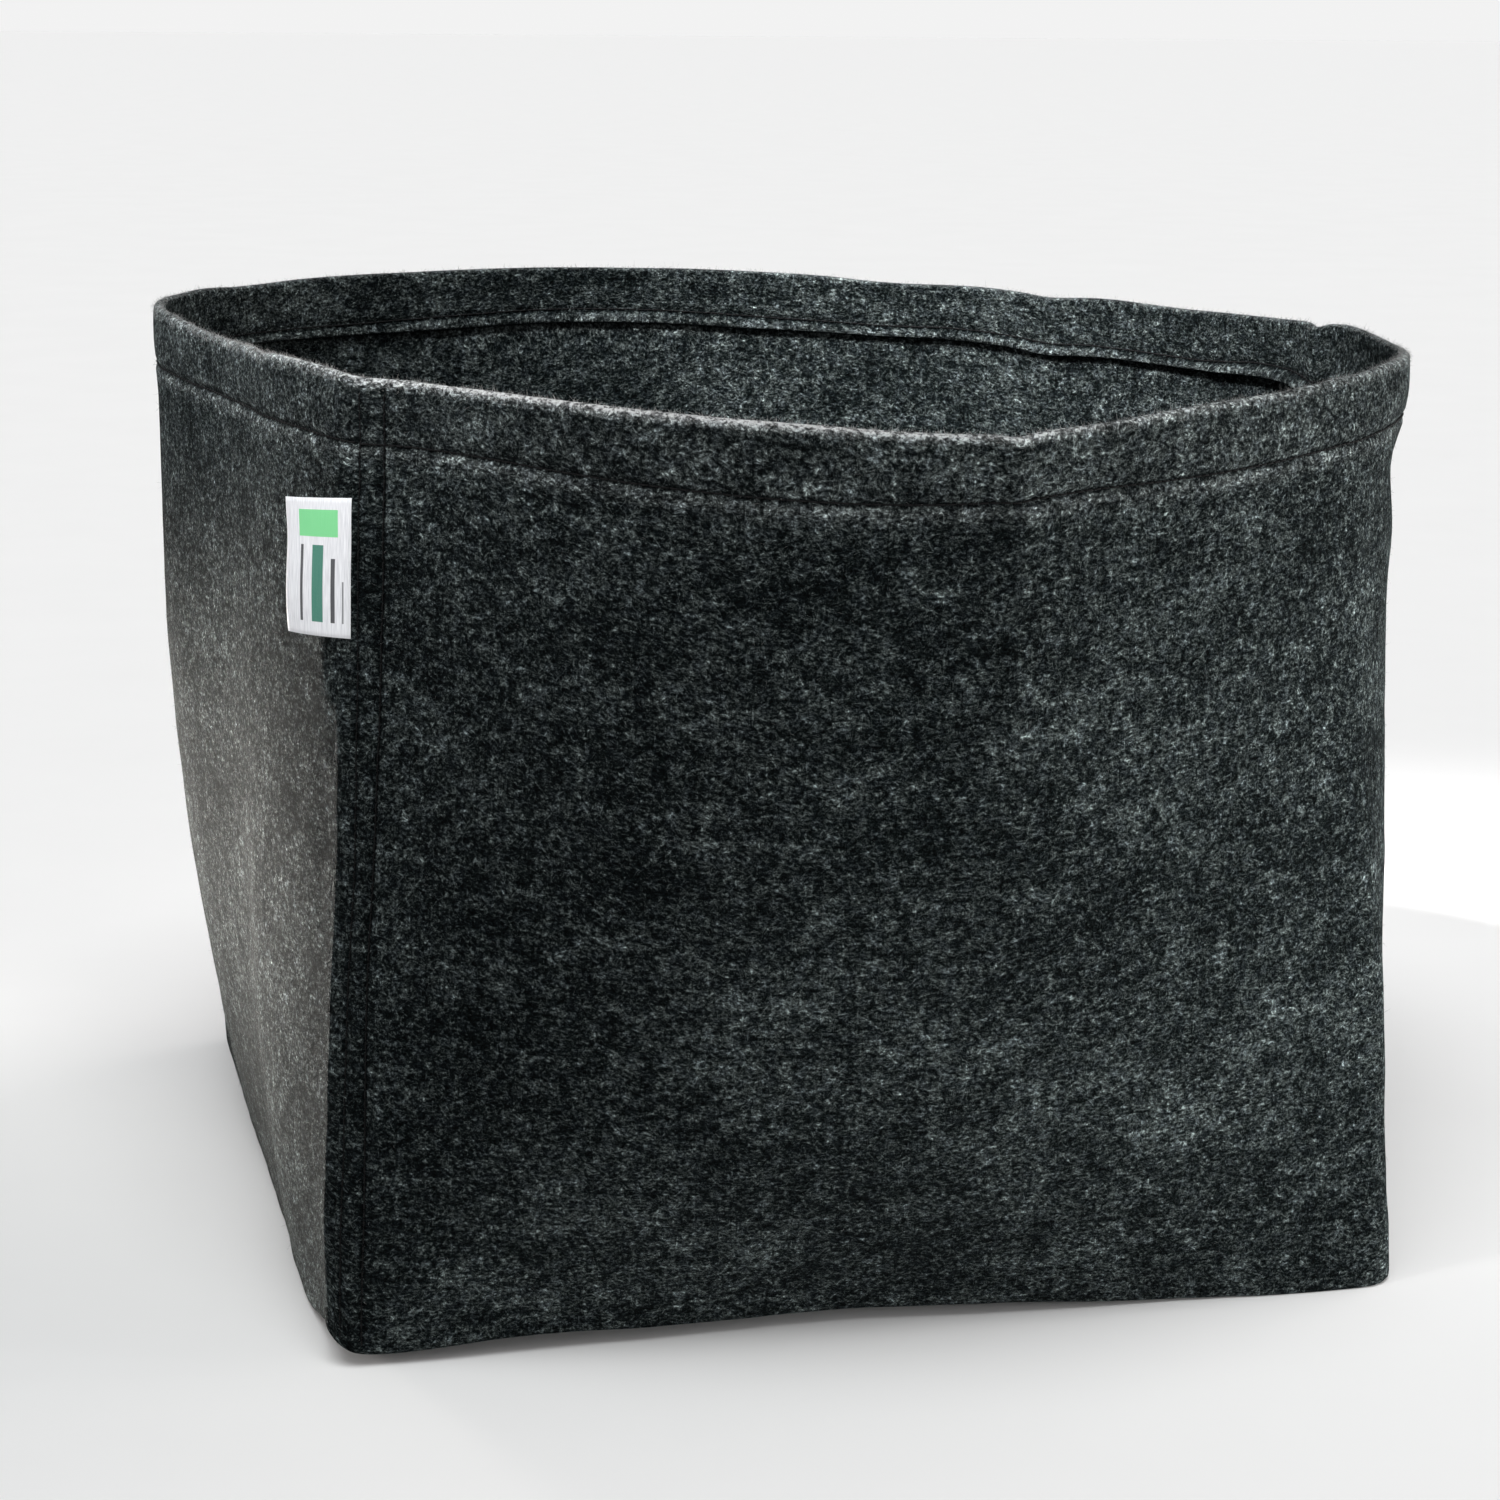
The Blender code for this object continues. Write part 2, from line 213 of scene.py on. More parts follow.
def mouth_points(distances):
    """The mouth: the smooth closed curve through the eight reaches, walked by length."""
    count = len(MOUTH_REACH)
    angles = FIRST_CORNER + np.linspace(0, 2 * math.pi, MOUTH_STEPS + 1) + 1e-7
    reach = np.zeros(len(angles))
    for index, one in enumerate(MOUTH_REACH):
        away = angles - FIRST_CORNER - index * 2 * math.pi / count
        reach += one * np.sin(count * away / 2) / (count * np.tan(away / 2))
    points = np.column_stack([reach * np.cos(angles), reach * np.sin(angles)])
    steps = np.linalg.norm(np.diff(points, axis=0), axis=1)
    lengths = np.concatenate([[0.0], np.cumsum(steps)])
    at = (np.asarray(distances) / GIRTH * lengths[-1] + MOUTH_SLIP) % lengths[-1]
    return np.column_stack([np.interp(at, lengths, points[:, k]) for k in (0, 1)])


def cloud(round_by, up_by, size, seed):
    """Soft noise over the strip, from -1 to 1, that joins up round the bag."""
    count = max(3, int(round(GIRTH / size)))
    tall = int(math.ceil((WALL_WIDTH + 0.2) / size)) + 3
    values = np.random.default_rng(seed).uniform(-1, 1, (count, tall))
    x = np.mod(round_by, GIRTH) / GIRTH * count
    y = (np.asarray(up_by) + 0.1) / size
    column = np.floor(x).astype(int)
    row = np.clip(np.floor(y).astype(int), 0, tall - 2)
    across = smooth(x - column)
    up = smooth(y - row)
    left = column % count
    right = (column + 1) % count
    low = values[left, row] * (1 - across) + values[right, row] * across
    high = values[left, row + 1] * (1 - across) + values[right, row + 1] * across
    return low * (1 - up) + high * up


def round_from(distance, centre):
    """How far a place is from another round the bag, the short way."""
    return np.mod(distance - centre + GIRTH / 2, GIRTH) - GIRTH / 2


def push_out(d, h):
    """How far the felt stands out of the plain lofted shape."""
    push = np.zeros(np.broadcast(d, h).shape)
    for at, up, wide, tall, by in SWELLS:
        push += by * bell(round_from(d, at) / wide) * bell((h - up) / tall)
    for at, low, high, by, wide in CREASES:
        away = np.abs(round_from(d, at)) / wide
        tent = np.exp(-away) - 0.45 * bell((away - 3.2) / 1.8)
        push += by * tent * smooth((h - low) / (high - low))
    beyond = np.maximum(round_from(d, 0), 0) / CORNER_REACH
    push -= CORNER_HOLLOW * beyond * np.exp(1 - beyond) * smooth((h - 0.14) / 0.20)
    free = smooth(h / 0.07) * (1 - 0.6 * smooth((h - WALL_WIDTH + 0.07) / 0.05))
    broad = cloud(d, h, 0.16, CLOUD_SEED) + 0.5 * cloud(d, h, 0.08, CLOUD_SEED + 1)
    push += UNDULATION * broad * free
    push += LUMPS * (cloud(d, h, 0.026, CLOUD_SEED + 2) + 0.6 * cloud(d, h, 0.013, CLOUD_SEED + 3))
    hem = np.clip((h - HEM_ROW) / HEM_STITCH, 0, 1)
    push += PILLOW * 4 * hem * (1 - hem)
    push += HEM_SWAY * hem * cloud(d, h * 0, 0.11, CLOUD_SEED + 4)
    push += PUCKER * bell((h - HEM_ROW + 0.0055) / 0.0045)
    return push


def lift(d, h):
    """How far a place rises or drops along its edge."""
    rise = np.zeros(np.broadcast(d, h).shape)
    for at, wide, rim, foot in EDGE_LIFTS:
        here = bell(round_from(d, at) / wide)
        rise += here * rim * smooth((h - WALL_WIDTH + 0.05) / 0.05)
        rise += here * foot * (1 - smooth(h / 0.12))
    near_rim = smooth((h - WALL_WIDTH + 0.06) / 0.06)
    rise += RIM_WANDER * cloud(d, h * 0, 0.045, CLOUD_SEED + 5) * near_rim
    return rise


def nudge(d, h):
    """How far a place is moved sideways, as x and y."""
    moved = np.zeros(np.broadcast(d, h).shape + (2,))
    for at, up, wide, tall, x, y in NUDGES:
        here = bell(round_from(d, at) / wide) * bell((h - up) / tall)
        moved += here[..., None] * np.array([x, y])
    return moved


class Wall:
    """The wall's outer face and the way into the felt from it, read at any place."""

    ROUND = 1928  # places round the bag, about a millimetre apart
    UP = 170  # steps from the foot to the rim

    def __init__(self):
        self.distances = np.arange(self.ROUND) * GIRTH / self.ROUND
        self.heights = np.linspace(0, WALL_WIDTH, self.UP + 1)
        foot = foot_points(self.distances)
        mouth = mouth_points(self.distances)
        rings = np.array([self.ring(foot, mouth, h) for h in self.heights])
        across = np.linalg.norm(np.diff(rings, axis=0), axis=2)
        up = np.sqrt((WALL_WIDTH / self.UP) ** 2 - across**2)
        rise = np.concatenate([np.zeros((1, self.ROUND)), np.cumsum(up, axis=0)])
        plain = np.concatenate([rings, rise[..., None]], axis=2)
        d, h = np.meshgrid(self.distances, self.heights)
        self.points = plain - self.inward(plain) * push_out(d, h)[..., None]
        self.points[..., :2] += nudge(d, h)
        self.points[..., 2] += lift(d, h)
        self.into = self.inward(self.points)

    def ring(self, foot, mouth, height):
        """The wall's plan at a height, between foot and mouth, with its girth kept."""
        open_by = 1 - (1 - height / WALL_WIDTH) ** FLARE_POWER
        ring = (1 - open_by) * foot + open_by * mouth
        steps = np.linalg.norm(np.roll(ring, -1, axis=0) - ring, axis=1)
        middle = ring.mean(axis=0)
        return middle + (ring - middle) * GIRTH / steps.sum()

    def inward(self, points):
        """Unit vectors into the bag, square to the felt."""
        along = np.roll(points, -3, axis=1) - np.roll(points, 3, axis=1)
        up = np.gradient(points, axis=0)
        into = np.cross(up, along)
        return into / np.linalg.norm(into, axis=2)[..., None]

    def at(self, distance, height, depth=0.0):
        """Points this far round, this far up the felt and this deep inside its outer face."""
        distance, height, depth = np.broadcast_arrays(distance, height, depth)
        x = np.mod(distance, GIRTH) / GIRTH * self.ROUND
        y = np.clip(height / WALL_WIDTH, 0, 1) * self.UP
        column = np.floor(x).astype(int) % self.ROUND
        row = np.clip(np.floor(y).astype(int), 0, self.UP - 1)
        across = (x - np.floor(x))[..., None]
        up = (y - row)[..., None]
        after = (column + 1) % self.ROUND

        def read(grid):
            low = grid[row, column] * (1 - across) + grid[row, after] * across
            high = grid[row + 1, column] * (1 - across) + grid[row + 1, after] * across
            return low * (1 - up) + high * up

        return read(self.points) + read(self.into) * depth[..., None]


# ---------------- the sewn strip

BOTTOM_FOLD_STEPS = 8  # of each half turn
TOP_FOLD_STEPS = 10
LAP_WAVE = 0.0004  # how unevenly the lapped end is cut


def spread(*stretches):
    """Places along a line: each stretch is (start, end, about how far apart)."""
    found = []
    for start, end, apart in stretches:
        found.append(np.linspace(start, end, max(2, int(round((end - start) / apart)) + 1)))
    return np.unique(np.round(np.concatenate(found), 6))


def strip_columns():
    """Where the mesh's columns stand: closer at corners, creases and the corner's rows."""
    stretches = [(0, STRIP_END, 0.0052), (0, 0.024, 0.0008), (GIRTH - 0.018, STRIP_END, 0.0018)]
    for corner in (QUARTER, 2 * QUARTER, 3 * QUARTER):
        stretches.append((corner - 0.016, corner + 0.016, 0.0026))
    for at, *_ in CREASES:
        stretches.append((at - 0.012, at + 0.012, 0.0026))
    return spread(*stretches)


def plain_heights():
    """Heights of the outer ply's rows, from the bottom fold to the start of the top one."""
    return spread(
        (FOLD / 2 + 0.0012, LAP_START, 0.0045),
        (LAP_START, HEM_ROW - 0.004, 0.0060),
        (HEM_ROW - 0.004, HEM_ROW + 0.004, 0.0008),
        (HEM_ROW + 0.004, WALL_WIDTH - FOLD, 0.0042),
    )


def end_step(distance, height):
    """How far in the strip's last stretch lies, where it turns behind the strip's beginning."""
    along = smooth((distance - GIRTH + LAP_EASE) / LAP_EASE)
    up = smooth((height - BASE_ALLOWANCE) / (LAP_START - BASE_ALLOWANCE))
    return LAP_STEP * along * up


def hem_across(distance):
    """From the outer face to the hem's own: more where the lapped end lies in the fold."""
    return FOLD + LAP_STEP * (1 - smooth((distance - LAP_WIDTH) / 0.012))


def hem_rise(distance):
    """How much higher than at the front the hem's stitches and raw edge run."""
    return sum(by * bell(round_from(distance, at) / wide) for at, wide, by in HEM_RISES)


def raised_hem(distance, height):
    """A height on the strip, shifted with the hem's stitches where they run higher."""
    return height + hem_rise(distance) * bell((height - HEM_ROW) / 0.012)


def hem_gap(distance):
    """How far the hem's raw edge stands off the wall."""
    wide = 0.0034 * bell(round_from(distance, 0.74) / 0.15)
    return 0.0007 + wide + 0.0007 * cloud(distance, distance * 0, 0.05, CLOUD_SEED + 6)


def groove(distance, height):
    """How deep the outer face is pulled in by the rows of stitches."""
    deep = GROOVE * bell((height - HEM_ROW) / GROOVE_WIDTH)
    near = round_from(distance, 0)
    rows = bell((near - EDGE_ROW) / 0.0012) * 0.7 + bell((near - SECOND_ROW) / 0.0015)
    ends = smooth((height - 0.002) / 0.004)
    return np.maximum(deep, GROOVE * rows * ends)


def pressed_and_shaded(distance, height):
    """Where the felt along the rows of stitches is compressed and darkened, with painted shade in their
    grooves, from 0 to 1.
    """
    line = bell((height - HEM_ROW) / PRESSED_SHADE_WIDTH)
    near = round_from(distance, 0)
    rows = bell((near - EDGE_ROW) / PRESSED_SHADE_WIDTH) + bell((near - SECOND_ROW) / PRESSED_SHADE_WIDTH)
    between = 0.30 * smooth(near / 0.002) * (1 - smooth((near - SECOND_ROW) / 0.002))
    return np.maximum(line, np.minimum(rows + between, 1))


def strip_profile(distance, height_of_plain):
    """The strip's section as rows of (height, depth of its face, depth of its back)."""
    rows = []
    level = 0 * distance
    turned_up = spread((0.0035, BASE_ALLOWANCE, 0.0028))[::-1]
    for height in turned_up:
        rows.append((height + level, FOLD + level, FOLD - FELT + level))
    radius = FOLD / 2
    for step in range(1, BOTTOM_FOLD_STEPS):
        turn = math.pi * step / BOTTOM_FOLD_STEPS
        face = radius + radius * math.cos(turn)
        back = radius + (radius - FELT) * math.cos(turn)
        low = radius - radius * math.sin(turn)
        rows.append((low + level, face + level, back + level))
    for height in height_of_plain:
        pulled = groove(distance, height)
        rows.append((raised_hem(distance, height), pulled, FELT + pulled * 0.25))
    across = hem_across(distance)
    for step in range(1, TOP_FOLD_STEPS):
        turn = math.pi * step / TOP_FOLD_STEPS
        high = WALL_WIDTH - across / 2 + across / 2 * math.sin(turn)
        face = across / 2 * (1 - math.cos(turn))
        inner = across / 2 - FELT
        rows.append((high, face, across / 2 - inner * math.cos(turn)))
    inside = spread(
        (WALL_WIDTH - HEM_DEPTH, HEM_ROW + 0.003, 0.0008),
        (HEM_ROW + 0.003, WALL_WIDTH - FOLD, 0.0050),
    )
    for height in inside[::-1]:
        away = smooth((HEM_ROW - height) / (HEM_DEPTH - HEM_STITCH))
        out = hem_gap(distance) * away - GROOVE * bell((height - HEM_ROW) / GROOVE_WIDTH)
        rows.append((raised_hem(distance, height), across + out, across - FELT + np.maximum(out, 0)))
    return rows


def added(name, data):
    """A new object in the scene."""
    thing = bpy.data.objects.new(name, data)
    bpy.context.scene.collection.objects.link(thing)
    return thing


def added_mesh(name, points, faces):
    """A new smooth mesh in the scene."""
    mesh = bpy.data.meshes.new(name)
    mesh.from_pydata(points.tolist(), [], faces)
    mesh.shade_smooth()
    return added(name, mesh)


def closed_cloth(name, face, back, faces, edge_out=0.0007):
    """A closed piece of cloth from its face, its back and its list of faces, with rounded edges.

    Returns the object, and for each of its points the row of the face or back it came from
    and its side: 0 on the face, 1 on the back and 0.5 along the edge.
    """
    count = len(face)
    directed = {(a, b) for f in faces for a, b in zip(f, f[1:] + f[:1])}
    border = [(a, b) for a, b in directed if (b, a) not in directed]
    border.sort()
    after = dict(border)
    before = {b: a for a, b in border}
    rim = sorted(after)
    tangent = np.array([face[after[k]] - face[before[k]] for k in rim])
    thick = face[rim] - back[rim]
    out = np.cross(tangent, thick)
    out /= np.maximum(np.linalg.norm(out, axis=1), 1e-12)[:, None]
    middle = (face[rim] + back[rim]) / 2 + out * edge_out
    index = {k: 2 * count + n for n, k in enumerate(rim)}
    points = np.concatenate([face, back, middle])
    polygons = list(faces) + [tuple(count + k for k in reversed(f)) for f in faces]
    for a, b in border:
        polygons.append((b, a, index[a], index[b]))
        polygons.append((index[b], index[a], count + a, count + b))
    shape = added_mesh(name, points, polygons)
    source = np.concatenate([np.arange(count), np.arange(count), np.array(rim)])
    side = np.concatenate([np.zeros(count), np.ones(count), np.full(len(rim), 0.5)])
    return shape, source, side


def grid_faces(columns, rows):
    """The faces of a grid whose points are listed column by column."""
    faces = []
    for c in range(columns - 1):
        for r in range(rows - 1):
            a = c * rows + r
            faces.append((a, a + rows, a + rows + 1, a + 1))
    return faces


def set_uv(mesh, place):
    """Gives each point its place on the flat cloth, in metres, as the mesh's UV map."""
    layer = mesh.uv_layers.new(name="cloth")
    corner = np.empty(len(mesh.loops), np.int32)
    mesh.loops.foreach_get("vertex_index", corner)
    layer.data.foreach_set("uv", np.asarray(place, np.float32)[corner].ravel())


def set_float(mesh, name, values):
    """Gives each point a number that the materials read by name."""
    attribute = mesh.attributes.new(name, "FLOAT", "POINT")
    attribute.data.foreach_set("value", np.asarray(values, np.float32))


def rim_wear_and_highlight(distance):
    """How far the rim is fuzzed and lightened round the bag, by wear and by painted highlight for the light
    from above: most at the front, where that highlight is strongest.
    """
    near = bell(round_from(distance, 0.12) / 0.48)
    front = bell(round_from(distance, 0.16) / 0.17)
    return 0.20 + 0.43 * near + 0.47 * front


def lapped_end(wall, heights, edge, total):
    """The strip's last stretch, past the ridge and behind the strip's beginning.

    It goes on from the points listed in edge, and total is how many points there are so far.
    Returns its face and back points, its places round the strip, and its faces.
    """
    face, back, round_by, faces = [], [], [], []
    count = len(heights)
    for distance in spread((0.0006, LAP_WIDTH, 0.0032)):
        wavy = distance + LAP_WAVE * np.sin(heights * 210) * (distance / LAP_WIDTH)
        face.append(wall.at(wavy, heights, LAP_STEP + 0.0001))
        back.append(wall.at(wavy, heights, LAP_STEP + FELT))
        round_by.append(np.full(count, GIRTH + distance))
        beyond = list(range(total, total + count))
        total += count
        for r in range(count - 1):
            faces.append((edge[r], beyond[r], beyond[r + 1], edge[r + 1]))
        edge = beyond
    return face, back, round_by, faces


def mark_wear_and_highlight(mesh, round_by, up_by, side, rim, seam, end):
    """Marks where the felt is lightened by wear, with painted highlight where the rim fold, the pucker
    under the row and the raw edge catch the light from above. The rim, row and raw edge lie this far up the
    strip.
    """
    outside = smooth((up_by - rim + 0.0056) / 0.0032) * (1 - smooth((up_by - rim - 0.0012) / 0.0020))
    hem = smooth((up_by - seam) / 0.002) * (1 - smooth((up_by - rim) / 0.004))
    wear_and_highlight = np.maximum(outside * rim_wear_and_highlight(round_by), 0.08 * hem) + (side == 0.5) * 0.2
    wear_and_highlight += 0.30 * bell((up_by - seam + 0.0036) / 0.0030)  # painted highlight where the felt puckers up under the stitches and catches the light from above
    wear_and_highlight += 0.14 * smooth((up_by - end + 0.0040) / 0.0020)  # the hem's raw edge: lighter fuzz, with painted highlight where it catches the light from above
    set_float(mesh, "wear_and_highlight", np.clip(wear_and_highlight, 0, 1))


def make_wall(wall):
    """The wall as one closed piece of cloth: turned up, standing, turned in and lapped."""
    columns = strip_columns()
    plain = plain_heights()
    profile = strip_profile(columns, plain)
    face_rows, back_rows, up_the_strip = [], [], []
    length = 0.0
    for k, (height, face_depth, back_depth) in enumerate(profile):
        step = end_step(columns, height)
        face_rows.append(wall.at(columns, height, face_depth + step))
        back_rows.append(wall.at(columns, height, back_depth + step))
        if k:
            length += float(np.linalg.norm(face_rows[-1] - face_rows[-2], axis=1).mean())
        up_the_strip.append(length)
    up_the_strip = np.array(up_the_strip)
    rows = len(profile)
    face = [np.stack(face_rows, axis=1).reshape(-1, 3)]
    back = [np.stack(back_rows, axis=1).reshape(-1, 3)]
    round_by = [np.repeat(columns, rows)]
    up_by = [np.tile(up_the_strip, len(columns))]
    faces = grid_faces(len(columns), rows)
    first_plain = next(k for k, row in enumerate(profile) if abs(row[0][0] - plain[0]) < 1e-9)
    lap = [first_plain + k for k, h in enumerate(plain) if h >= LAP_START - 1e-6]
    lap_heights = np.array([profile[k][0][0] for k in lap])
    edge = [(len(columns) - 1) * rows + k for k in lap]
    lap_face, lap_back, lap_round, lap_faces = lapped_end(wall, lap_heights, edge, len(columns) * rows)
    face += lap_face
    back += lap_back
    round_by += lap_round
    up_by += [up_the_strip[lap]] * len(lap_round)
    faces += lap_faces
    shape, source, side = closed_cloth("felt_wall", np.concatenate(face), np.concatenate(back), faces)
    round_by, up_by = np.concatenate(round_by)[source], np.concatenate(up_by)[source]
    # the back of the cloth is read from another part of the felt's pattern
    set_uv(shape.data, np.column_stack([round_by + side * 2.6, up_by]))
    rim = up_the_strip[first_plain + len(plain) + 4]  # where the top fold is highest
    seam = up_the_strip[first_plain] + HEM_ROW - plain[0]  # the hem's row on the outside
    mark_wear_and_highlight(shape.data, round_by, up_by, side, rim, seam, length)
    height = up_by - up_the_strip[first_plain] + plain[0]
    inside = bell((up_by - 2 * rim + seam) / PRESSED_SHADE_WIDTH)  # the hem's row on the inside
    on_face = (side < 0.4) * (height > 0) * (round_by < GIRTH)
    # compressed felt and painted groove shade along the rows
    set_float(shape.data, "pressed_and_shaded", np.maximum(pressed_and_shaded(round_by, height), inside) * on_face)
    return shape


def base_columns():
    """Where the base's columns stand: closer at its corners."""
    stretches = [(0.0, GIRTH - 0.004, 0.0080)]
    for side in range(4):
        stretches.append((side * QUARTER + 0.0005, side * QUARTER + 0.011, 0.0035))
        stretches.append(((side + 1) * QUARTER - 0.011, (side + 1) * QUARTER - 0.004, 0.0035))
    return spread(*stretches)


# The base's turned-up edge, from its top down into the flat: (height, further in than the wall's)
BASE_EDGE = (
    (BASE_ALLOWANCE, 0.0),
    (0.0085, 0.0),
    (0.0055, 0.0),
    (0.0032, 0.0002),
    (0.0012, 0.0012),
    (0.0, 0.0036),
)
BASE_RINGS = 26
BASE_SWELL = 0.00176  # how unevenly the empty bag's base lies


def make_base(wall):
    """The square base, its edge turned up inside the wall's own turned edge."""
    columns = base_columns()
    edge = wall.at(columns, 0.0, BASE_DEPTH)
    edge_z = np.maximum(wall.at(columns, 0.0, 0.0)[:, 2], 0.0)
    face, back = [], []
    for height, further in BASE_EDGE:
        point = wall.at(columns, height, BASE_DEPTH + further)
        point[:, 2] = edge_z + height
        raised = max(height, FELT)
        thick = FELT if height > FELT else FELT * 0.8
        inside = wall.at(columns, raised, BASE_DEPTH + further + thick)
        inside[:, 2] = edge_z + raised
        face.append(point)
        back.append(inside)
    centre = edge[:, :2].mean(axis=0)
    last = face[-1]
    for share in np.linspace(1, 0.03, BASE_RINGS)[1:]:
        point = last.copy()
        point[:, :2] = centre + (last[:, :2] - centre) * share
        fade = 1 - smooth((1 - share) / 0.16)
        uneven = cloud(point[:, 0] + 5, point[:, 1] + 0.2, 0.11, CLOUD_SEED + 8) + 0.9
        point[:, 2] = edge_z * fade + BASE_SWELL * uneven * smooth((1 - share) / 0.3)
        above = point.copy()
        above[:, 2] += FELT
        face.append(point)
        back.append(above)
    count, total = len(columns), len(face)
    faces = [tuple((total - 1) * count + c for c in reversed(range(count)))]
    for r in range(total - 1):
        for c in range(count):
            a = r * count + c
            b = r * count + (c + 1) % count
            faces.append((a, a + count, b + count, b))
    face, back = np.concatenate(face), np.concatenate(back)
    shape, source, side = closed_cloth("felt_base", face, back, faces)
    set_uv(shape.data, face[source][:, :2] + np.column_stack([side * 1.7 + 6.0, side * 0.4 + 2.0]))
    set_float(shape.data, "wear_and_highlight", side == 0.5)
    set_float(shape.data, "pressed_and_shaded", 0 * side)
    return shape


# ---------------- stitches

GUIDE = np.array([0.13, 0.31, 0.94])  # a direction that no stitch or hair runs along


def tube(path, radii, sides=6):
    """Points and faces of a closed tube along a path, one ring a point."""
    path = np.asarray(path)
    along = np.gradient(path, axis=0)
    along /= np.linalg.norm(along, axis=1)[:, None]
    side = np.cross(along, GUIDE)
    side /= np.linalg.norm(side, axis=1)[:, None]
    other = np.cross(along, side)
    turns = 2 * math.pi * np.arange(sides) / sides
    rings = (
        path[:, None]
        + np.asarray(radii)[:, None, None]
        * (np.cos(turns)[None, :, None] * side[:, None] + np.sin(turns)[None, :, None] * other[:, None])
    )
    faces = []
    for r in range(len(path) - 1):
        for k in range(sides):
            a, b = r * sides + k, r * sides + (k + 1) % sides
            faces.append((a, b, b + sides, a + sides))
    faces.append(tuple(reversed(range(sides))))
    faces.append(tuple((len(path) - 1) * sides + k for k in range(sides)))
    return rings.reshape(-1, 3), faces


def joined(name, parts):
    """One mesh object of many small closed bodies."""
    points, faces, start = [], [], 0
    for some, theirs in parts:
        points.append(some)
        faces += [tuple(start + k for k in f) for f in theirs]
        start += len(some)
    return added_mesh(name, np.concatenate(points), faces)


def stitch_row(name, start, end, place_of, out_of, seed):
    """A row of separate stitches: place_of(s) lies on the felt, out_of(s) points off it."""
    random = np.random.default_rng(seed)
    count = int(round((end - start) / STITCH))
    # one stitch comes up out of its hole, lies on the felt and goes down again
    shares = np.array([0.02, 0.10, 0.28, 0.50, 0.72, 0.90, 0.98])
    heights = np.array([-0.70, 0.05, 0.42, 0.50, 0.42, 0.05, -0.70]) * THREAD
    parts = []
    pitch = (end - start) / count
    for k in range(count):
        shake = random.uniform(-0.04, 0.04, 2)
        s = start + pitch * (k + 0.04 + shake[0] + (0.92 + shake[1] - shake[0]) * shares)
        s = np.clip(s, start, end)
        path = place_of(s) + out_of(s) * heights[:, None]
        parts.append(tube(path, np.full(len(s), THREAD * 0.45)))
    return joined(name, parts)


def rows_of_thread(wall):
    """Each row of stitches as (the node it stands for, its shape)."""
    sunk = GROOVE * 0.75  # how deep the thread is drawn into the felt

    def off(distance, height):
        """Unit vectors out of the felt's outer face."""
        way = wall.at(distance, height, -0.001) - wall.at(distance, height, 0.0)
        return way / np.linalg.norm(way, axis=-1)[:, None]

    def on_hem(distance, depth):
        height = HEM_ROW + hem_rise(distance)
        return wall.at(distance, height, depth + end_step(distance, height))

    def out_of_hem(distance):
        return off(distance, HEM_ROW)

    made = [
        ("hem_needle_thread", stitch_row(
            "hem_stitches_outside", 0.0015, GIRTH - 0.003,
            lambda s: on_hem(s, sunk), out_of_hem, 1,
        )),
        ("hem_bobbin_thread", stitch_row(
            "hem_stitches_inside", 0.0015, GIRTH - 0.003,
            lambda s: on_hem(s, hem_across(s) - sunk), lambda s: -out_of_hem(s), 2,
        )),
    ]
    for name, at, seed in (("edge_row", EDGE_ROW, 3), ("second_row", SECOND_ROW, 5)):
        made.append((name + "_needle_thread", stitch_row(
            name + "_stitches_outside", ROW_FOOT, WALL_WIDTH - ROW_HEAD,
            lambda s: wall.at(at + 0 * s, s, sunk * 0.9), lambda s: off(at + 0 * s, s), seed,
        )))
        made.append((name + "_bobbin_thread", stitch_row(
            name + "_stitches_inside", LAP_START + 0.001, WALL_WIDTH - HEM_DEPTH - 0.001,
            lambda s: wall.at(at + 0 * s, s, LAP_STEP + FELT), lambda s: -off(at + 0 * s, s), seed + 1,
        )))
    made.append(("base_seam_thread", stitch_row(
        "base_seam_stitches", 0.004, GIRTH - 0.004,
        lambda s: wall.at(s, BASE_ROW + 0 * s, BASE_DEPTH + FELT), lambda s: -off(s, BASE_ROW + 0 * s), 7,
    )))
    return made


# ---------------- label

LABEL_ROWS = 28
LABEL_COLUMNS = 16
LABEL_START = 0.0012  # where it leaves the seam
LABEL_EDGE = 0.00008  # how far its edges are rounded out


def make_label(wall):
    """The tape: caught in the seam, standing out of it, a little waved and curled back."""
    bottom = WALL_WIDTH - LABEL_DROP - LABEL_TALL
    heights = bottom + np.linspace(0, LABEL_TALL, LABEL_ROWS)
    share = np.linspace(0, 1, LABEL_ROWS)
    outs = np.linspace(LABEL_WIDE, LABEL_START, LABEL_COLUMNS)
    depth = FELT * 0.9
    face, back, place = [], [], []
    for out in outs:
        far = out / LABEL_WIDE
        heading = LABEL_HEADING + 0.10 * far * (share - 0.5) - 0.16 * far**2
        way = np.column_stack([np.cos(heading), np.sin(heading), 0 * heading])
        behind = np.column_stack([way[:, 1], -way[:, 0], 0 * heading])
        wave = 0.0011 * far**1.5 * np.sin(share * 5.2 + 0.6) + 0.0012 * far**2
        point = wall.at(0 * heights, heights, depth) + way * out - behind * wave[:, None]
        point[:, 2] += 0.0009 * far * (1 - 2 * share) - 0.0010 * far
        face.append(point)
        back.append(point + behind * LABEL_CLOTH)
        place.append(np.column_stack([0 * share + out, share * LABEL_TALL]))
    for tuck in np.linspace(LABEL_START, LABEL_TUCK, 6):
        face.append(wall.at(tuck + 0 * heights, heights, depth))
        back.append(wall.at(tuck + 0 * heights, heights, depth + LABEL_CLOTH))
        place.append(np.column_stack([0 * share - tuck, share * LABEL_TALL]))
    faces = grid_faces(len(face), LABEL_ROWS)
    face, back = np.concatenate(face), np.concatenate(back)
    shape, source, _ = closed_cloth("woven_label", face, back, faces, LABEL_EDGE)
    set_uv(shape.data, np.concatenate(place)[source])
    return shape


# ---------------- loose fibres


